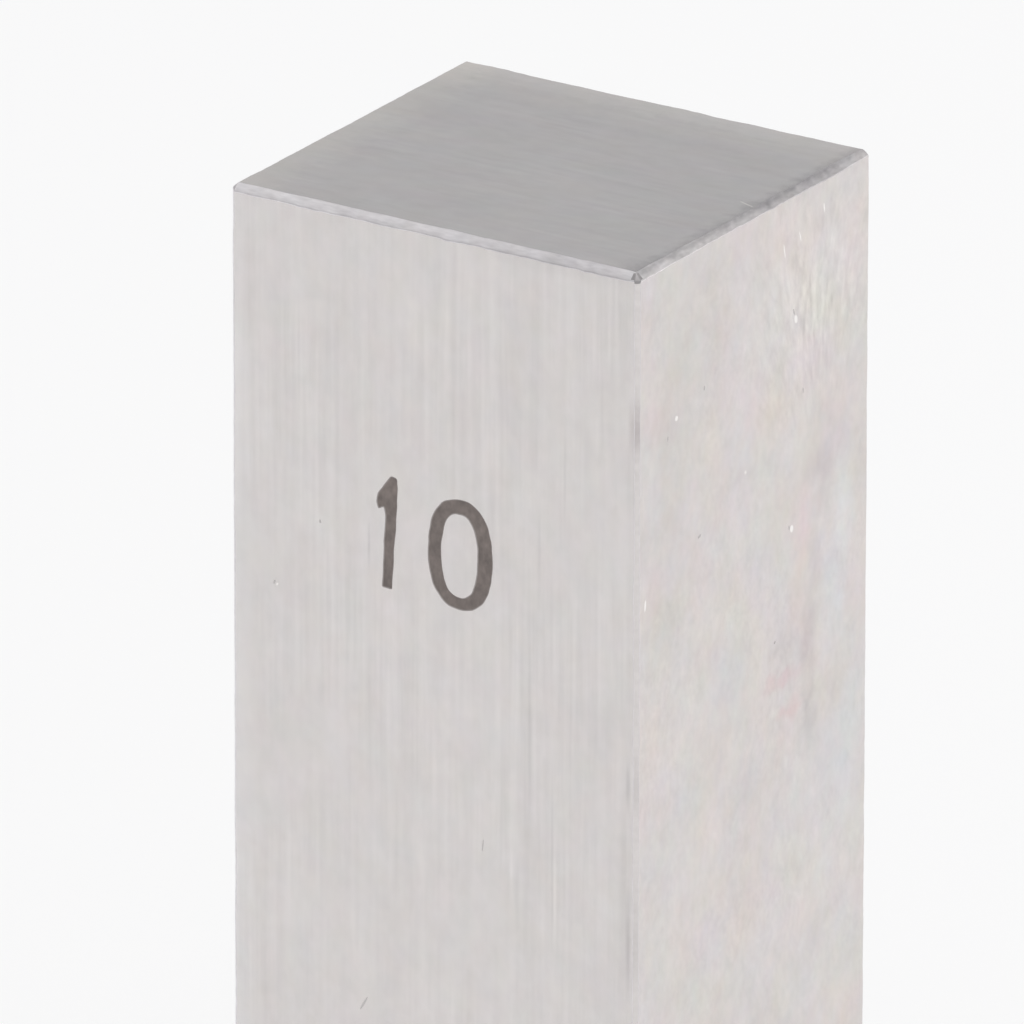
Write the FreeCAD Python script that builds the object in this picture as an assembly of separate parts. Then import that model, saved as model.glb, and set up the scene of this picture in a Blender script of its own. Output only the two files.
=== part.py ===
# A rectangular steel gauge block of 10 mm nominal length, stood on one of its end faces.
# X runs through the two lapped measuring faces, Y through the two side faces, Z up the block.
# The origin is the middle of the end face that the block stands on. All sizes are in millimetres.
import FreeCAD
import Part
import os

# The three sizes of the block. The cross-section is the standard one for lengths up to 10 mm.
nominal_length = 10.0
face_width = 9.0
face_height = 30.0

# Edge breaks: the leg of each 45 degree flat that a stone leaves where two faces meet.
upright_break = 0.08
side_end_break = 0.15
measuring_end_break = 0.10

# One measuring edge was stoned unevenly. Its break narrows from the marked side to the plain side.
uneven_break_at_marked_side = 0.14
uneven_break_at_plain_side = 0.06


def stone_slab(start, end, into_one_face, into_other_face, leg_at_start, leg_at_end):
    # The stone rests on the two lines that bound the break, one on each face beside the edge.
    seat_one = start + into_one_face * leg_at_start
    seat_other = start + into_other_face * leg_at_start
    seat_far = end + into_one_face * leg_at_end
    outward = (seat_other - seat_one).cross(seat_far - seat_one).normalize()
    if outward.dot(into_one_face + into_other_face) > 0:
        outward = -outward

    # The slab reaches past every corner of the block, whichever edge it works on.
    reach = nominal_length + face_width + face_height
    slab = Part.makeBox(2 * reach, 2 * reach, reach, FreeCAD.Vector(-reach, -reach, 0))
    slab.Placement = FreeCAD.Placement(seat_one, FreeCAD.Rotation(FreeCAD.Vector(0, 0, 1), outward))
    return slab


def upright_slabs():
    # The four edges between a measuring face and a side face.
    slabs = []
    for x_side in (-1, 1):
        for y_side in (-1, 1):
            foot = FreeCAD.Vector(x_side * nominal_length / 2, y_side * face_width / 2, 0)
            head = foot + FreeCAD.Vector(0, 0, face_height)
            into_measuring_face = FreeCAD.Vector(0, -y_side, 0)
            into_side_face = FreeCAD.Vector(-x_side, 0, 0)
            slabs.append(
                stone_slab(foot, head, into_measuring_face, into_side_face, upright_break, upright_break)
            )
    return slabs


def side_end_slabs():
    # The four edges between a side face and an end face.
    slabs = []
    for y_side in (-1, 1):
        for z, into_side_face in end_levels():
            start = FreeCAD.Vector(-nominal_length / 2, y_side * face_width / 2, z)
            end = FreeCAD.Vector(nominal_length / 2, y_side * face_width / 2, z)
            into_end_face = FreeCAD.Vector(0, -y_side, 0)
            slabs.append(
                stone_slab(start, end, into_side_face, into_end_face, side_end_break, side_end_break)
            )
    return slabs


def measuring_end_slabs():
    # The four edges between a measuring face and an end face. The top one at +X is the uneven one.
    slabs = []
    for x_side in (-1, 1):
        for z, into_measuring_face in end_levels():
            at_marked_side = FreeCAD.Vector(x_side * nominal_length / 2, -face_width / 2, z)
            at_plain_side = FreeCAD.Vector(x_side * nominal_length / 2, face_width / 2, z)
            into_end_face = FreeCAD.Vector(-x_side, 0, 0)
            legs = (measuring_end_break, measuring_end_break)
            if x_side > 0 and z > 0:
                legs = (uneven_break_at_marked_side, uneven_break_at_plain_side)
            slabs.append(
                stone_slab(at_marked_side, at_plain_side, into_measuring_face, into_end_face, *legs)
            )
    return slabs


def end_levels():
    # The height of each end face, with the direction along the block's walls that leads away from it.
    return ((0, FreeCAD.Vector(0, 0, 1)), (face_height, FreeCAD.Vector(0, 0, -1)))


def gauge_block():
    blank = Part.makeBox(
        nominal_length,
        face_width,
        face_height,
        FreeCAD.Vector(-nominal_length / 2, -face_width / 2, 0),
    )
    return blank.cut(upright_slabs() + side_end_slabs() + measuring_end_slabs())


os.makedirs("parts", exist_ok=True)
block = gauge_block().Solids[0]
block.exportStep("parts/gauge_block.step")
print("gauge_block:", len(block.Faces), "faces,", round(block.Volume, 3), "mm3")
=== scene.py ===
import math

import bmesh
import bpy
from mathutils import Matrix, Vector, noise


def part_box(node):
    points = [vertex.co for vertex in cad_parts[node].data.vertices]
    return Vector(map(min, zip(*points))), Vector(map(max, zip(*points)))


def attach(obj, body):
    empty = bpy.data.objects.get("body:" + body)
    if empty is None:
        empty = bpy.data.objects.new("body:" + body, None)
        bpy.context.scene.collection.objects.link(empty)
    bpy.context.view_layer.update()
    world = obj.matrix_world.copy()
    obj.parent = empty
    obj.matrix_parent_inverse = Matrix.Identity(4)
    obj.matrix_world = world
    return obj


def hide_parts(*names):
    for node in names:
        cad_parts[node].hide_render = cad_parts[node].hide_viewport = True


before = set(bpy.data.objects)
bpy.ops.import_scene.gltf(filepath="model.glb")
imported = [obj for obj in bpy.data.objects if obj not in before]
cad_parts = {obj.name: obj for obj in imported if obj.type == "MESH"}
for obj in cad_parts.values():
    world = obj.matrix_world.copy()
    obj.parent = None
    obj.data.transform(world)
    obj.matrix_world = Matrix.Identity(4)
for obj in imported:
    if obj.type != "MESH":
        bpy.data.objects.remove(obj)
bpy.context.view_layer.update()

mm = 0.001  # lengths below are in millimetres unless a note says otherwise

# Material slots of the block. The cutters carry the same slots, in the same order.
finishes = [
    "groundSide", "lappedFace", "groundEnd", "stonedEdge", "uprightEdge",
    "etchedFloor", "etchedWall", "shadedNick", "glintingNick", "shadedChip", "rightEdge",
]

# The blank, and how its twelve edges were broken with a stone.
blank = {
    "cut": 0.10,  # leg of the flat that every edge starts with
    "roundOver": 0.016,  # the small round on both sides of that flat
    "roundSteps": 2,
    "pitch": 0.08,  # spacing of the points along an edge
    "uprightLeg": 0.08,
    "sideEndLeg": 0.15,
    "measuringEndLeg": 0.10,
    "unevenLegs": (0.155, 0.13),  # top edge at +X, from the marked side to the plain side
    "unevenBend": 0.4,  # below 1, most of that change lies near the marked side
    "waver": 0.22,  # how far the hand strays, as a share of the leg
    "waverLength": 0.9,
    "tremor": 0.45,  # a quicker stray on top, as a share of the slow one
    "tremorRate": 4.5,  # how many times quicker
    "slack": 1.01,  # keeps the outer points of the round inside the zone that moves
}
broadSide = 5  # only the six large faces have an area above this square


def shapeBlank(low, high):
    bm = bmesh.new()
    bmesh.ops.create_cube(bm, size=1.0)
    bmesh.ops.scale(bm, vec=high - low, verts=bm.verts)
    bmesh.ops.translate(bm, vec=(low + high) / 2, verts=bm.verts)
    bmesh.ops.bevel(
        bm, geom=bm.edges[:], offset=blank["cut"] * mm, offset_type="OFFSET",
        affect="EDGES", segments=1, profile=0.5, material=-1,
    )
    bmesh.ops.bevel(
        bm, geom=bm.edges[:], offset=blank["roundOver"] * mm, offset_type="OFFSET",
        affect="EDGES", segments=blank["roundSteps"], profile=0.5, material=-1,
    )
    return bm


def broadFaces(bm):
    return [face for face in bm.faces if face.calc_area() > (broadSide * mm) ** 2]


def divideEdges(bm):
    for axis in range(3):
        lengthwise = [
            edge for edge in bm.edges
            if edge.calc_length() > broadSide * mm
            and abs((edge.verts[0].co - edge.verts[1].co).normalized()[axis]) > 0.99
        ]
        cuts = round(lengthwise[0].calc_length() / mm / blank["pitch"])
        bmesh.ops.subdivide_edges(bm, edges=lengthwise, cuts=cuts)


def strayFrom(leg, edgeName, along):
    # A leg wanders slowly along its edge, with a quicker tremor on top.
    lane = sum(ord(letter) for letter in edgeName)
    slow = noise.noise(Vector((along / blank["waverLength"], lane, 0.3)))
    quick = noise.noise(Vector((along / blank["waverLength"] * blank["tremorRate"], lane, 7.9)))
    return leg * (1 + blank["waver"] * (slow + blank["tremor"] * quick))


def legsAt(spot, low, high):
    # Legs of the nearest upright edge, measuring-face end edge and side-face end edge, at this point.
    x, y, z = spot / mm
    right = x > 0
    back = y > 0
    top = spot.z > (low.z + high.z) / 2
    share = (spot.y - low.y) / (high.y - low.y)
    uprightLeg = strayFrom(blank["uprightLeg"], f"upright{right}{back}", z)
    sideEndLeg = strayFrom(blank["sideEndLeg"], f"side{back}{top}", x)
    evenLeg = blank["measuringEndLeg"]
    if right and top:
        first, last = blank["unevenLegs"]
        evenLeg = first + (last - first) * share ** blank["unevenBend"]
    measuringEndLeg = strayFrom(evenLeg, f"measuring{right}{top}", y)
    return {(0, 1): uprightLeg, (0, 2): measuringEndLeg, (1, 2): sideEndLeg}


def stoneByHand(bm, low, high):
    # Each point near an edge moves in or out until the flat has its own width there.
    zone = (blank["cut"] + blank["roundOver"] * blank["slack"]) * mm
    for vert in bm.verts:
        depth = [min(vert.co[i] - low[i], high[i] - vert.co[i]) for i in range(3)]
        legs = legsAt(vert.co, low, high)
        moved = vert.co.copy()
        for i in range(3):
            pull, weights = 0.0, 0.0
            for j in range(3):
                if j != i and depth[i] < zone and depth[j] < zone:
                    weights += zone - depth[j]
                    pull += (zone - depth[j]) * legs[tuple(sorted((i, j)))] / blank["cut"]
            if weights:
                inward = 1 if vert.co[i] - low[i] < high[i] - vert.co[i] else -1
                moved[i] += inward * depth[i] * (pull / weights - 1)
        vert.co = moved


def paintBlank(bm, low, high):
    frontCorner = Vector((high.x, low.y, high.z))
    for face in bm.faces:
        face.smooth = True
        face.material_index = finishes.index("stonedEdge")
        if face.normal.x > 0.3 and face.normal.y < -0.3:
            face.material_index = finishes.index("uprightEdge")
        if face.normal.x > 0.1 and face.normal.z > 0.1:
            face.material_index = finishes.index("rightEdge")
        # Facets near the front corner take the chip's dark finish, painted shade.
        if (face.calc_center_median() - frontCorner).length < cornerChip["reach"] * mm:
            face.material_index = finishes.index("shadedChip")
    for face in broadFaces(bm):
        axis = max(range(3), key=lambda i: abs(face.normal[i]))
        face.material_index = finishes.index(("lappedFace", "groundSide", "groundEnd")[axis])
        face.smooth = False


def makeBlank(low, high):
    bm = shapeBlank(low, high)
    bmesh.ops.delete(bm, geom=broadFaces(bm), context="FACES_ONLY")
    divideEdges(bm)
    stoneByHand(bm, low, high)
    bmesh.ops.holes_fill(bm, edges=[edge for edge in bm.edges if edge.is_boundary], sides=0)
    bmesh.ops.recalc_face_normals(bm, faces=bm.faces)
    paintBlank(bm, low, high)
    return addObject("gaugeBlock", bm)


def addObject(name, bm):
    mesh = bpy.data.meshes.new(name)
    bm.to_mesh(mesh)
    bm.free()
    made = bpy.data.objects.new(name, mesh)
    bpy.context.scene.collection.objects.link(made)
    return made


# The size number, etched into the marked side. Places are across from the left edge and down from the top.
number = {
    "depth": 0.012,
    "wall": 0.022,  # width of the sloping wall round the etched floor
    "tremor": 0.02,
    "tremorLength": 0.22,
    "one": (
        (3.95, 5.65), (4.11, 5.69), (4.13, 5.85), (4.09, 6.65), (4.03, 7.35), (3.98, 8.18), (3.73, 8.16),
        (3.77, 7.30), (3.81, 6.55), (3.78, 6.38), (3.65, 6.45), (3.59, 6.28), (3.62, 6.10), (3.80, 5.85),
    ),
    "oneCorner": 0.04,
    "longSide": 0.12,  # sides above this length get extra points for the tremor
    "zeroPoints": 80,
    "zeroCentre": (5.66, 7.05),
    "zeroSize": (1.60, 2.45),
    "zeroHoleCentre": (5.64, 7.08),
    "zeroHoleSize": (0.89, 1.84),
    "zeroSquareness": 2.3,
}


cutterRise = 0.05  # how far a cutter stands out of the face


def drawOne(bm):
    corners = [bm.verts.new((across, down, 0)) for across, down in number["one"]]
    bm.faces.new(corners)
    bmesh.ops.bevel(
        bm, geom=corners, offset=number["oneCorner"], offset_type="OFFSET",
        affect="VERTICES", segments=2, profile=0.5, material=-1,
    )
    longSides = [edge for edge in bm.edges if edge.calc_length() > number["longSide"]]
    bmesh.ops.subdivide_edges(bm, edges=longSides, cuts=4)


def drawRing(bm, centre, size):
    ring = bmesh.ops.create_circle(bm, cap_ends=False, segments=number["zeroPoints"], radius=1.0)["verts"]
    for vert in ring:
        for i in range(2):
            share = abs(vert.co[i]) ** (2 / number["zeroSquareness"])
            vert.co[i] = centre[i] + math.copysign(share, vert.co[i]) * size[i] / 2
    return ring


def drawZero(bm):
    drawRing(bm, number["zeroCentre"], number["zeroSize"])
    drawRing(bm, number["zeroHoleCentre"], number["zeroHoleSize"])
    bmesh.ops.bridge_loops(bm, edges=bm.edges[:])


def shake(bm, amount, length):
    for vert in bm.verts:
        vert.co.x += amount * noise.noise(Vector((vert.co.x / length, vert.co.y / length, 1.7)))
        vert.co.y += amount * noise.noise(Vector((vert.co.x / length, vert.co.y / length, 8.2)))


def sink(bm, wall, depth, wallFinish, floorFinish):
    # Turns a flat outline into a cutter that leaves a shallow recess with sloping walls.
    outline = bm.faces[:]
    for face in outline:
        if face.normal.z < 0:
            face.normal_flip()
    bmesh.ops.translate(bm, vec=(0, 0, -cutterRise), verts=bm.verts)
    lifted = bmesh.ops.extrude_face_region(bm, geom=outline)["geom"]
    raised = [part for part in lifted if isinstance(part, bmesh.types.BMVert)]
    bmesh.ops.translate(bm, vec=(0, 0, cutterRise), verts=raised)
    floor = [face for face in lifted if isinstance(face, bmesh.types.BMFace)]
    for face in bm.faces:
        face.material_index = finishes.index(wallFinish)
    bmesh.ops.inset_region(bm, faces=floor, thickness=wall, depth=depth, use_even_offset=True)
    for face in floor:
        face.material_index = finishes.index(floorFinish)
    bmesh.ops.recalc_face_normals(bm, faces=bm.faces)


def faceGrid(side, low, high):
    # From (across, down, inward) in millimetres on one face to the block's frame.
    corner, across, down, inward = {
        "marked": ((low.x, low.y, high.z), (1, 0, 0), (0, 0, -1), (0, 1, 0)),
        "measuring": ((high.x, low.y, high.z), (0, 1, 0), (0, 0, -1), (-1, 0, 0)),
        "top": ((low.x, low.y, high.z), (1, 0, 0), (0, 1, 0), (0, 0, -1)),
    }[side]
    turn = Matrix((across, down, inward)).transposed().to_4x4()
    return Matrix.Translation(Vector(corner)) @ turn @ Matrix.Scale(mm, 4)


def numberTools(low, high):
    tools = []
    for name, draw in (("toolOne", drawOne), ("toolZero", drawZero)):
        bm = bmesh.new()
        draw(bm)
        shake(bm, number["tremor"], number["tremorLength"])
        bm.normal_update()
        sink(bm, number["wall"], number["depth"], "etchedWall", "etchedFloor")
        bmesh.ops.transform(bm, matrix=faceGrid("marked", low, high), verts=bm.verts)
        bmesh.ops.recalc_face_normals(bm, faces=bm.faces)
        tools.append(addObject(name, bm))
    return tools


# Nicks and scratches: side, across, down, width, length, lean in degrees, finish. The recesses are real;
# the dark finish is painted shade in them and the bright finish a painted glint.
nicks = (
    ("marked", 1.06, 8.62, 0.06, 0.10, 20, "shadedNick"),
    ("marked", 1.13, 8.66, 0.04, 0.08, 20, "glintingNick"),
    ("marked", 2.20, 7.03, 0.05, 0.09, 0, "shadedNick"),
    ("marked", 3.27, 17.60, 0.05, 0.40, 30, "shadedNick"),
    ("marked", 6.22, 13.40, 0.03, 0.30, 5, "shadedNick"),
    ("measuring", 1.48, 3.60, 0.11, 0.12, 10, "glintingNick"),
    ("measuring", 6.10, 2.88, 0.12, 0.20, -15, "glintingNick"),
    ("measuring", 6.02, 2.70, 0.05, 0.16, -15, "shadedNick"),
    ("measuring", 5.64, 1.24, 0.04, 0.34, -12, "glintingNick"),
    ("measuring", 6.25, 1.10, 0.04, 0.26, -18, "glintingNick"),
    ("measuring", 7.18, 0.75, 0.05, 0.22, -8, "glintingNick"),
    ("measuring", 5.98, 7.50, 0.13, 0.17, -10, "glintingNick"),
    ("measuring", 5.88, 7.45, 0.05, 0.12, -10, "shadedNick"),
    ("measuring", 4.16, 5.66, 0.06, 0.08, 0, "glintingNick"),
    ("measuring", 0.30, 7.36, 0.07, 0.26, 5, "glintingNick"),
    ("measuring", 2.38, 6.50, 0.07, 0.14, 70, "shadedNick"),
    ("measuring", 2.55, 3.28, 0.06, 0.10, 10, "shadedNick"),
    ("measuring", 1.15, 3.95, 0.05, 0.12, 0, "shadedNick"),
    ("measuring", 5.34, 9.83, 0.05, 0.09, 60, "shadedNick"),
    ("measuring", 6.40, 4.55, 0.04, 0.14, -10, "shadedNick"),
    ("top", 9.62, 4.76, 0.02, 0.50, 70, "glintingNick"),
)
nickDepth = 0.006
nickWall = 0.3  # share of a nick's width that slopes

# The chip at the front corner of the top. Edge facets within its reach share its finish, whose dark color
# is painted shade on the broken steel.
cornerChip = {"place": (10.01, -0.01, 0.0), "radius": 0.16, "reach": 0.20, "lump": 0.3, "lumpRate": 14}


def nickTools(low, high):
    tools = []
    for index, (side, across, down, width, length, lean, finish) in enumerate(nicks):
        bm = bmesh.new()
        bmesh.ops.create_circle(bm, cap_ends=True, segments=8, radius=0.5)
        bmesh.ops.scale(bm, vec=(width, length, 1), verts=bm.verts)
        bmesh.ops.rotate(bm, matrix=Matrix.Rotation(math.radians(lean), 3, "Z"), verts=bm.verts)
        bmesh.ops.translate(bm, vec=(across, down, 0), verts=bm.verts)
        bm.normal_update()
        sink(bm, width * nickWall, nickDepth, finish, finish)
        bmesh.ops.transform(bm, matrix=faceGrid(side, low, high), verts=bm.verts)
        bmesh.ops.recalc_face_normals(bm, faces=bm.faces)
        tools.append(addObject(f"toolNick{index}", bm))
    return tools


def chipTool(low, high):
    bm = bmesh.new()
    bmesh.ops.create_icosphere(bm, subdivisions=2, radius=cornerChip["radius"])
    for vert in bm.verts:
        vert.co *= 1 + cornerChip["lump"] * noise.noise(vert.co * cornerChip["lumpRate"])
    bmesh.ops.translate(bm, vec=cornerChip["place"], verts=bm.verts)
    # The chip's faces take its dark finish, painted shade.
    for face in bm.faces:
        face.material_index = finishes.index("shadedChip")
    bmesh.ops.transform(bm, matrix=faceGrid("top", low, high), verts=bm.verts)
    bmesh.ops.recalc_face_normals(bm, faces=bm.faces)
    return addObject("toolChip", bm)


def engrave(block, tools, materials):
    for made in [block] + tools:
        for finish in finishes:
            made.data.materials.append(materials[finish])
        if made is not block:
            cut = block.modifiers.new(made.name, "BOOLEAN")
            cut.operation = "DIFFERENCE"
            cut.solver = "EXACT"
            cut.object = made
    shown = block.evaluated_get(bpy.context.evaluated_depsgraph_get())
    carved = bpy.data.meshes.new_from_object(shown)
    block.modifiers.clear()
    block.data = carved
    for tool in tools:
        bpy.data.meshes.remove(tool.data)


# Looks of the steel. Sizes are in millimetres along x, y and z; weights are shares of the color.
# A mark is one line or spot: centre, reach, color factor; many marks are painted highlight or painted
# shade. Patchy grain comes and goes over the surface.
# Wander lets marks stray: amount, size. A fan is a spray of fine rays from an apex at (y, z).
groundSideLook = {
    "color": (0.690, 0.660, 0.650),
    "roughness": 0.27,
    "grain": (((0.22, 0.22, 0.25), 0.09), ((0.45, 0.45, 0.6), 0.08), ((1.2, 1.2, 1.8), 0.10)),
    "patchy": (
        ((0.05, 0.05, 2.2), 0.08), ((0.13, 0.13, 5.0), 0.16),
        ((0.28, 0.28, 12.0), 0.15), ((0.5, 0.5, 14.0), 0.14),
    ),
    "tint": (((0.7, 0.7, 1.0), 0.04),),
    "relief": 0.0006,
    "wander": (0.006, 0.5),
    "marks": (
        # The long scratches right of the number, in pairs of dark and bright: real scratches, their dark
        # and bright sides painted shade and painted highlight.
        ((2.22, -4.5, 19.4), (0.30, 1, 3.4), (0.972, 0.972, 0.976)),
        ((2.37, -4.5, 19.6), (0.060, 1, 3.0), (0.915, 0.915, 0.920)),
        ((2.48, -4.5, 19.3), (0.075, 1, 2.6), (1.050, 1.050, 1.050)),
        ((2.93, -4.5, 16.8), (0.055, 1, 2.6), (0.910, 0.910, 0.915)),
        ((3.00, -4.5, 15.8), (0.055, 1, 1.6), (1.090, 1.090, 1.090)),
        ((1.93, -4.5, 16.2), (0.040, 1, 0.8), (1.070, 1.070, 1.070)),
        ((2.06, -4.5, 15.8), (0.110, 1, 1.0), (0.940, 0.940, 0.945)),
        ((1.60, -4.5, 20.4), (0.150, 1, 2.6), (1.035, 1.035, 1.035)),
        ((4.07, -4.5, 21.8), (0.090, 1, 3.4), (1.040, 1.040, 1.040)),
        # Above them, and beside the number, with the same painted shade and painted highlight.
        ((2.60, -4.5, 23.4), (0.060, 1, 1.8), (0.940, 0.940, 0.945)),
        ((2.72, -4.5, 23.4), (0.110, 1, 1.8), (1.030, 1.030, 1.030)),
        ((3.22, -4.5, 25.2), (0.050, 1, 1.3), (0.930, 0.930, 0.935)),
        ((4.13, -4.5, 26.6), (0.050, 1, 1.6), (0.950, 0.950, 0.955)),
        ((4.30, -4.5, 28.4), (0.050, 1, 1.4), (1.070, 1.070, 1.070)),
        ((0.04, -4.5, 18.0), (0.120, 1, 1.8), (1.035, 1.035, 1.035)),
        ((-1.59, -4.5, 22.7), (0.050, 1, 0.80), (0.880, 0.880, 0.885)),
        ((-0.3, -4.5, 27.6), (1.6, 1, 2.2), (1.015, 1.015, 1.015)),
        # Painted shade: a little darker under the top edge, near the front corner.
        ((3.2, -4.5, 29.82), (3.6, 1, 0.34), (0.945, 0.945, 0.945)),
        # Painted shade beside the front upright edge, and painted light along the left one.
        ((4.87, -4.5, 26.6), (0.13, 1, 0.80), (0.860, 0.850, 0.855)),
        ((4.79, -4.5, 18.7), (0.09, 1, 0.80), (0.820, 0.820, 0.825)),
        ((4.80, -4.5, 15.2), (0.10, 1, 1.50), (0.820, 0.820, 0.825)),
        ((4.66, -4.5, 16.0), (0.25, 1, 3.50), (0.965, 0.965, 0.965)),
        ((-5.0, -4.5, 15.0), (0.75, 1, 40), (1.045, 1.060, 1.070)),
    ),
}

lappedFaceLook = {
    "color": (0.690, 0.651, 0.636),
    "roughness": 0.17,
    "grain": (((0.2, 0.17, 0.2), 0.11), ((0.6, 0.5, 0.6), 0.16), ((2.0, 1.6, 2.0), 0.15)),
    "patchy": (((0.10, 0.09, 0.12), 0.15), ((0.3, 0.22, 0.3), 0.14)),
    "tint": (((0.9, 0.4, 0.5), 0.045), ((3.0, 1.3, 1.7), 0.09)),
    "relief": 0.0005,
    "wander": (0.16, 0.5),
    "fan": {
        "apex": (2.7, 22.0), "size": (0.24, 0.55), "weight": 0.60,
        "centre": (5, 2.2, 27.4), "reach": (20, 3.6, 3.6),
    },
    "marks": (
        ((5, -2.8, 26.8), (1, 2.4, 4.2), (0.970, 0.965, 0.960)),
        ((5, 2.2, 27.8), (1, 3.4, 3.4), (1.045, 1.035, 1.028)),
        ((5, 1.2, 25.2), (1, 2.2, 1.0), (1.030, 1.005, 0.980)),
        ((5, 3.2, 25.0), (1, 1.2, 0.8), (1.025, 1.005, 0.975)),
        # A dark line down the middle of the right half, pink on its left and bluish on its right.
        ((5, 2.4, 23.7), (1, 1.3, 0.7), (0.945, 0.935, 0.945)),
        ((5, 2.75, 23.3), (1, 0.45, 1.1), (0.930, 0.920, 0.930)),
        ((5, 2.40, 21.6), (1, 0.42, 1.7), (0.925, 0.905, 0.915)),
        ((5, 2.15, 19.8), (1, 0.45, 1.7), (0.900, 0.885, 0.900)),
        ((5, 2.20, 18.2), (1, 0.36, 1.2), (0.880, 0.870, 0.885)),
        ((5, 1.5, 19.6), (1, 1.1, 1.5), (0.955, 0.950, 0.955)),
        ((5, 1.9, 22.4), (1, 0.60, 1.3), (1.025, 0.945, 0.945)),
        ((5, 1.7, 21.0), (1, 0.60, 1.2), (1.015, 0.960, 0.960)),
        ((5, 3.5, 22.4), (1, 0.65, 2.0), (1.020, 1.070, 1.095)),
        ((5, 3.2, 20.2), (1, 0.80, 2.0), (1.015, 1.065, 1.095)),
        ((5, 3.7, 17.2), (1, 1.2, 3.0), (1.010, 1.035, 1.055)),
        ((5, 1.2, 19.25), (1, 1.1, 0.30), (1.010, 0.910, 0.920)),
        ((5, 1.4, 18.5), (1, 0.9, 0.28), (1.010, 0.910, 0.920)),
        ((5, 0.9, 20.1), (1, 0.8, 0.6), (0.950, 0.950, 0.955)),
        ((5, 2.6, 15.6), (1, 2.4, 3.2), (1.010, 1.020, 1.030)),
        ((5, -3.3, 22.2), (1, 1.2, 0.9), (0.965, 0.980, 0.955)),
        ((5, -3.9, 26.5), (1, 0.7, 0.7), (1.030, 0.975, 0.980)),
        ((5, 0.2, 22.5), (1, 1.4, 1.8), (0.990, 1.008, 1.012)),
        ((5, -4.38, 14.0), (1, 0.07, 16), (1.025, 1.025, 1.020)),
    ),
}

groundEndLook = {
    "color": (0.717, 0.694, 0.699),
    "roughness": 0.22,
    "grain": (((0.5, 0.3, 0.3), 0.10), ((1.8, 1.3, 1.3), 0.12)),
    "patchy": (((1.6, 0.05, 0.05), 0.09), ((2.5, 0.14, 0.14), 0.11), ((5.0, 0.5, 0.5), 0.12)),
    "tint": (((1.2, 0.8, 0.8), 0.04),),
    "relief": 0.0008,
    "wander": (0.14, 0.25),
    "marks": (
        # Painted highlight along the back and left edges of the top, where the surface rolls over, and
        # painted shade along the right edge and by the front corner.
        ((0, 4.5, 30), (20, 1.9, 1), (1.17, 1.16, 1.13)),
        ((0, 3.55, 30), (6, 0.30, 1), (0.955, 0.955, 0.955)),
        ((-5, 0, 30), (1.5, 20, 1), (1.15, 1.14, 1.10)),
        ((5.0, 0, 30), (0.50, 20, 1), (0.76, 0.76, 0.77)),
        ((4.8, -4.3, 30), (0.7, 1.2, 1), (0.86, 0.86, 0.87)),
    ),
}

stonedEdgeLook = {
    "color": (0.700, 0.676, 0.693),
    "roughness": 0.3,
    "grain": (((0.30, 0.06, 0.10), 0.40), ((0.9, 0.5, 0.5), 0.30)),
    "tint": (((0.5, 0.5, 0.5), 0.03),),
    "relief": 0.001,
    "wander": (0.03, 0.4),
    "marks": (
        # Painted shade and painted highlight along the top edge of the marked side: darker towards the
        # front, lighter to the left, and a bright line at its lower rim.
        ((3.8, -4.43, 29.93), (3.6, 1, 1), (0.93, 0.93, 0.93)),
        ((-4.0, -4.43, 29.97), (1.8, 1, 1), (1.04, 1.04, 1.04)),
        ((-2.5, -4.50, 29.85), (5.8, 0.10, 0.07), (1.09, 1.09, 1.09)),
    ),
}

# The top edge of the right measuring face, with painted shade: darker where it meets the top, and towards
# the back; a little lighter at the front.
rightEdgeLook = {
    "color": (0.800, 0.770, 0.772),
    "roughness": 0.35,
    "grain": (((0.06, 0.22, 0.10), 0.4), ((0.5, 0.5, 0.5), 0.4)),
    "tint": (((0.5, 0.5, 0.5), 0.04),),
    "relief": 0.001,
    "wander": (0.05, 0.3),
    "marks": (
        ((4.87, 0, 30), (0.16, 20, 0.16), (0.62, 0.62, 0.63)),
        ((5, 1.8, 29.9), (1, 4.6, 1), (0.80, 0.80, 0.81)),
        ((5, -3.9, 29.9), (1, 0.8, 1), (1.06, 1.06, 1.06)),
    ),
}

# The front upright edge, with painted shade: darker dashes where its worn flats show a darker reflection.
uprightEdgeLook = {
    "color": (0.685, 0.653, 0.643),
    "roughness": 0.3,
    "grain": (((0.2, 0.2, 0.12), 0.16), ((0.6, 0.6, 0.4), 0.12)),
    "tint": (),
    "relief": 0.001,
    "wander": (0.10, 0.5),
    "marks": (
        ((5, -4.5, 26.6), (1, 1, 0.85), (0.78, 0.76, 0.77)),
        ((5, -4.5, 18.7), (1, 1, 0.8), (0.93, 0.93, 0.93)),
        ((5, -4.5, 15.2), (1, 1, 1.5), (0.93, 0.93, 0.93)),
    ),
}

etchedFloorLook = {
    "color": (0.180, 0.150, 0.138),
    "roughness": 0.6,
    "metallic": 0.0,
    "grain": (((0.12, 0.12, 0.16), 0.8), ((0.4, 0.4, 0.5), 0.8)),
    "tint": (),
    "relief": 0.004,
    "wander": (0.0, 1.0),
    "marks": (((-1.0, -4.5, 24.3), (0.4, 1, 0.5), (1.2, 1.2, 1.2)),),
}


seeds = {"grain": 0, "patchy": 5, "tint": 11, "rays": 15, "wander": 21, "spread": 31}
spread = {"size": (2.4, 2.4, 3.2), "from": (0.3, 0.7), "to": (0.1, 1.1)}  # where patchy grain shows
seedStep = 7.3  # moves each noise to a place of its own
wanderGain = 4
rayTurn = 8.0  # turns the angle round the apex into millimetres across a ray


def addNode(tree, kind, inputs, **settings):
    made = tree.nodes.new(f"ShaderNode{kind}")
    for name, value in settings.items():
        setattr(made, name, value)
    for key, value in inputs.items():
        if isinstance(value, bpy.types.NodeSocket):
            tree.links.new(value, made.inputs[key])
        else:
            made.inputs[key].default_value = value
    return made.outputs


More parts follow.
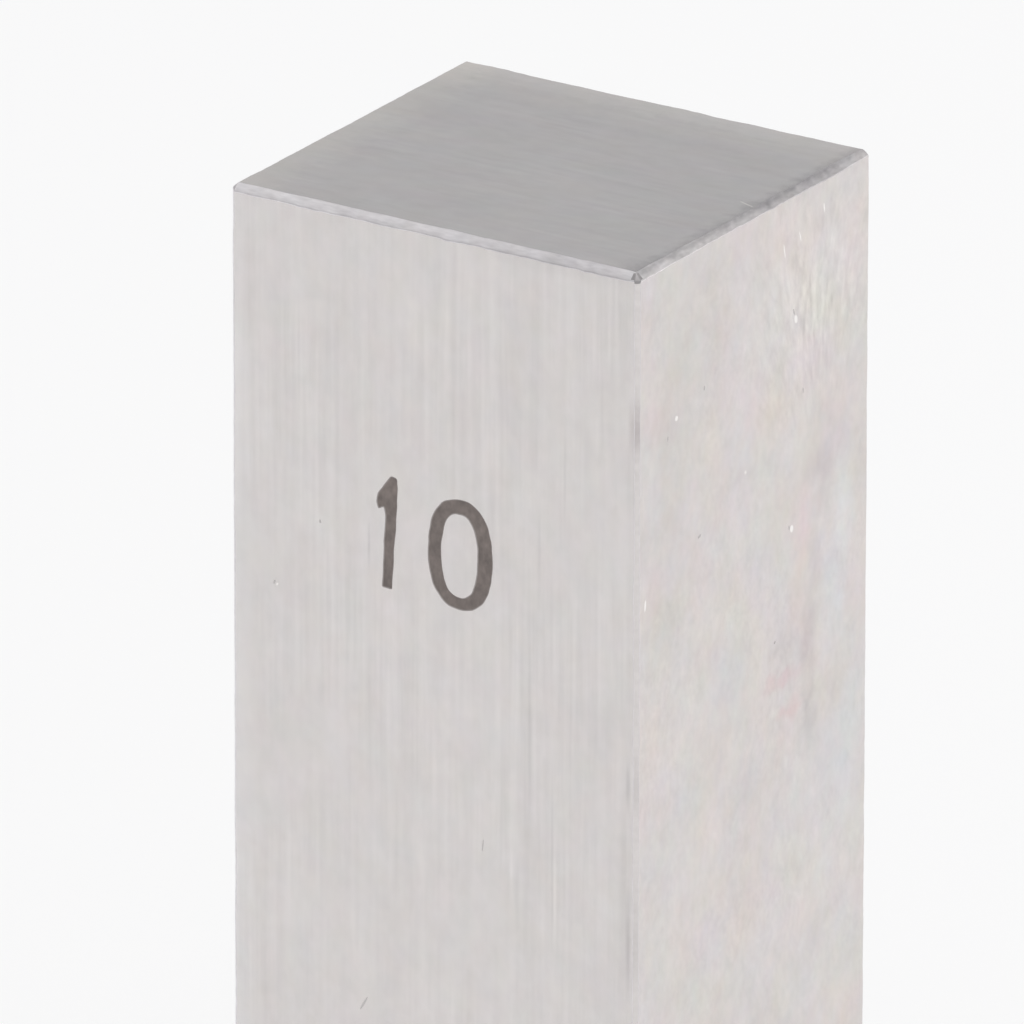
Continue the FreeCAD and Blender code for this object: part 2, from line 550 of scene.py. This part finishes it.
def grain(tree, place, size, seed):
    # Noise with lumps of this size along each axis.
    scale = [1 / length for length in size]
    moved = addNode(tree, "Mapping", {"Vector": place, "Scale": scale, "Location": [seed * seedStep] * 3})
    return addNode(tree, "TexNoise", {"Vector": moved[0], "Scale": 1.0, "Detail": 2.0, "Roughness": 0.55})


def addGrain(tree, level, lumps, weight):
    centred = addNode(tree, "Math", {0: lumps, 1: 0.5}, operation="SUBTRACT")[0]
    return addNode(tree, "Math", {0: centred, 1: weight, 2: level}, operation="MULTIPLY_ADD")[0]


def patch(tree, place, centre, reach):
    # 1 at the centre, fading to 0 at the reach.
    away = addNode(tree, "VectorMath", {0: place, 1: centre}, operation="SUBTRACT")
    share = addNode(tree, "VectorMath", {0: away[0], 1: reach}, operation="DIVIDE")
    length = addNode(tree, "VectorMath", {0: share[0]}, operation="LENGTH")
    fade = addNode(tree, "MapRange", {0: length["Value"], 3: 1.0, 4: 0.0}, interpolation_type="SMOOTHSTEP")
    return fade[0]


def fanOut(tree, place, apex):
    # Coordinates round an apex on the face: across the ray, along the ray.
    away = addNode(tree, "VectorMath", {0: place, 1: (0, *apex)}, operation="SUBTRACT")
    split = addNode(tree, "SeparateXYZ", {0: away[0]})
    angle = addNode(tree, "Math", {0: split["Y"], 1: split["Z"]}, operation="ARCTAN2")
    across = addNode(tree, "Math", {0: angle[0], 1: rayTurn}, operation="MULTIPLY")
    flat = addNode(tree, "CombineXYZ", {1: split["Y"], 2: split["Z"]})
    along = addNode(tree, "VectorMath", {0: flat[0]}, operation="LENGTH")
    return addNode(tree, "CombineXYZ", {0: across[0], 1: along["Value"]})[0]


def steel(name, look):
    material = bpy.data.materials.new(name)
    material.use_nodes = True
    tree = material.node_tree
    shader = tree.nodes["Principled BSDF"]
    coordinates = addNode(tree, "TexCoord", {})["Object"]
    place = addNode(tree, "Mapping", {"Vector": coordinates, "Scale": [1 / mm] * 3})[0]

    level = 1.0
    for index, (size, weight) in enumerate(look["grain"]):
        lumps = grain(tree, place, size, index + seeds["grain"])["Fac"]
        level = addGrain(tree, level, lumps, weight)
    if "patchy" in look:
        wide = grain(tree, place, spread["size"], seeds["spread"])["Fac"]
        (least, most), (faint, full) = spread["from"], spread["to"]
        share = addNode(tree, "MapRange", {0: wide, 1: least, 2: most, 3: faint, 4: full})[0]
        for index, (size, weight) in enumerate(look["patchy"]):
            strength = addNode(tree, "Math", {0: share, 1: weight}, operation="MULTIPLY")[0]
            lumps = grain(tree, place, size, index + seeds["patchy"])["Fac"]
            level = addGrain(tree, level, lumps, strength)
    if "fan" in look:
        fan = look["fan"]
        rays = grain(tree, fanOut(tree, place, fan["apex"]), (*fan["size"], 1), seeds["rays"])["Fac"]
        reach = patch(tree, place, fan["centre"], fan["reach"])
        strength = addNode(tree, "Math", {0: reach, 1: fan["weight"]}, operation="MULTIPLY")[0]
        level = addGrain(tree, level, rays, strength)

    shift = sum(weight for size, weight in look["tint"]) / 2
    red, green, blue = look["color"]
    base = (red - shift, green - shift / 2, blue - shift)
    color = addNode(tree, "VectorMath", {0: base, "Scale": level}, operation="SCALE")[0]
    for index, (size, weight) in enumerate(look["tint"]):
        hue = grain(tree, place, size, index + seeds["tint"])["Color"]
        share = (weight, weight / 2, weight)
        color = addNode(tree, "VectorMath", {0: hue, 1: share, 2: color}, operation="MULTIPLY_ADD")[0]
    amount, size = look["wander"]
    lumps = grain(tree, place, (size, size, size), seeds["wander"])["Color"]
    stray = addNode(tree, "VectorMath", {0: lumps, 1: (0.5, 0.5, 0.5)}, operation="SUBTRACT")[0]
    strength = [amount * wanderGain] * 3
    roam = addNode(tree, "VectorMath", {0: stray, 1: strength, 2: place}, operation="MULTIPLY_ADD")[0]
    for centre, reach, factor in look["marks"]:
        share = patch(tree, roam, centre, reach)
        color = addNode(
            tree, "Mix", {0: share, 6: color, 7: (*factor, 1)}, data_type="RGBA", blend_type="MULTIPLY",
        )[2]
    bump = addNode(tree, "Bump", {"Height": level, "Distance": look["relief"] * mm})

    tree.links.new(color, shader.inputs["Base Color"])
    tree.links.new(bump[0], shader.inputs["Normal"])
    shader.inputs["Metallic"].default_value = look.get("metallic", 1.0)
    shader.inputs["Roughness"].default_value = look["roughness"]
    return material


steelLooks = {
    "groundSide": groundSideLook,
    "lappedFace": lappedFaceLook,
    "groundEnd": groundEndLook,
    "stonedEdge": stonedEdgeLook,
    "uprightEdge": uprightEdgeLook,
    "rightEdge": rightEdgeLook,
    "etchedFloor": etchedFloorLook,
}

# Small finishes: color, roughness, metallic.
plainFinishes = {
    "etchedWall": ((0.320, 0.290, 0.280), 0.5, 0.0),
    # A dark nick's color is painted shade, a bright nick's color a painted glint.
    "shadedNick": ((0.56, 0.54, 0.53), 0.4, 1.0),
    "glintingNick": ((0.92, 0.89, 0.87), 0.2, 1.0),
    # The chip's dark color is painted shade.
    "shadedChip": ((0.37, 0.355, 0.36), 0.55, 1.0),
}


def plainFinish(name, color, roughness, metallic):
    material = bpy.data.materials.new(name)
    material.use_nodes = True
    shader = material.node_tree.nodes["Principled BSDF"]
    shader.inputs["Base Color"].default_value = (*color, 1)
    shader.inputs["Metallic"].default_value = metallic
    shader.inputs["Roughness"].default_value = roughness
    return material


paleFloor = {"radius": 1.2, "points": 96, "color": (0.95, 0.95, 0.953), "roughness": 0.9}  # metres


def makeFloor():
    bm = bmesh.new()
    bmesh.ops.create_circle(bm, cap_ends=True, segments=paleFloor["points"], radius=paleFloor["radius"])
    floor = addObject("floor", bm)
    material = bpy.data.materials.new("paleFloor")
    material.use_nodes = True
    shader = material.node_tree.nodes["Principled BSDF"]
    shader.inputs["Base Color"].default_value = (*paleFloor["color"], 1)
    shader.inputs["Roughness"].default_value = paleFloor["roughness"]
    shader.inputs["Specular IOR Level"].default_value = 0.0
    floor.data.materials.append(material)


# Light of the room by height: sine of the height above the horizon, brightness.
room = ((0.0, 0.95), (0.08, 0.88), (0.2, 0.60), (0.36, 0.49), (0.5, 0.62), (0.79, 0.87), (1.0, 0.95))


def makeWorld():
    world = bpy.data.worlds.new("softRoom")
    bpy.context.scene.world = world
    world.use_nodes = True
    tree = world.node_tree
    direction = tree.nodes.new("ShaderNodeTexCoord")
    split = tree.nodes.new("ShaderNodeSeparateXYZ")
    ramp = tree.nodes.new("ShaderNodeValToRGB")
    tree.links.new(direction.outputs["Generated"], split.inputs[0])
    tree.links.new(split.outputs["Z"], ramp.inputs[0])
    points = ramp.color_ramp.elements
    for index, (place, level) in enumerate(room):
        point = points[index] if index < 2 else points.new(place)
        point.position = place
        point.color = (level, level, level, 1)
    tree.links.new(ramp.outputs["Color"], tree.nodes["Background"].inputs["Color"])


softbox = {"place": (0.35, 0.1, 0.85), "size": 1.0, "power": 2.8}  # metres and watts


def makeLamp():
    data = bpy.data.lights.new("softbox", "AREA")
    data.shape = "DISK"
    data.size = softbox["size"]
    data.energy = softbox["power"]
    lamp = bpy.data.objects.new("softbox", data)
    lamp.location = softbox["place"]
    lamp.rotation_euler = Vector(softbox["place"]).to_track_quat("Z", "Y").to_euler()
    bpy.context.scene.collection.objects.link(lamp)


shot = {
    "azimuth": 32.708, "elevation": 21.177, "lean": 0.075,  # degrees
    "distance": 488.9, "lens": 824.4, "sensor": 36,
    "nearest": 0.02, "farthest": 5,  # metres
    "aside": -0.8075, "belowTop": 7.7004,  # where the camera aims
}


def makeCamera(high):
    azimuth, elevation = math.radians(shot["azimuth"]), math.radians(shot["elevation"])
    back = Vector((
        math.sin(azimuth) * math.cos(elevation),
        -math.cos(azimuth) * math.cos(elevation),
        math.sin(elevation),
    ))
    aside = Vector((math.cos(azimuth), math.sin(azimuth), 0)) * shot["aside"] * mm
    aim = Vector((0, 0, high.z - shot["belowTop"] * mm)) + aside
    data = bpy.data.cameras.new("camera")
    data.lens = shot["lens"]
    data.sensor_width = shot["sensor"]
    data.clip_start = shot["nearest"]
    data.clip_end = shot["farthest"]
    camera = bpy.data.objects.new("camera", data)
    camera.location = aim + back * shot["distance"] * mm
    lean = Matrix.Rotation(math.radians(shot["lean"]), 3, "Z").to_quaternion()
    camera.rotation_mode = "QUATERNION"
    camera.rotation_quaternion = back.to_track_quat("Z", "Y") @ lean
    bpy.context.scene.collection.objects.link(camera)
    bpy.context.scene.camera = camera


bpy.context.scene.view_settings.view_transform = "Standard"
low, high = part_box("gauge_block")
materials = {name: plainFinish(name, *look) for name, look in plainFinishes.items()}
for name, look in steelLooks.items():
    materials[name] = steel(name, look)
print("looks:", len(materials), "finishes")
block = makeBlank(low, high)
print("blank:", len(block.data.polygons), "faces")
engrave(block, numberTools(low, high) + nickTools(low, high) + [chipTool(low, high)], materials)
print("engraved:", len(block.data.polygons), "faces")
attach(block, "root")
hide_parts("gauge_block")
print("block: one piece on root")
makeFloor()
makeWorld()
makeLamp()
makeCamera(high)
print("stage: floor, room light, softbox and camera")
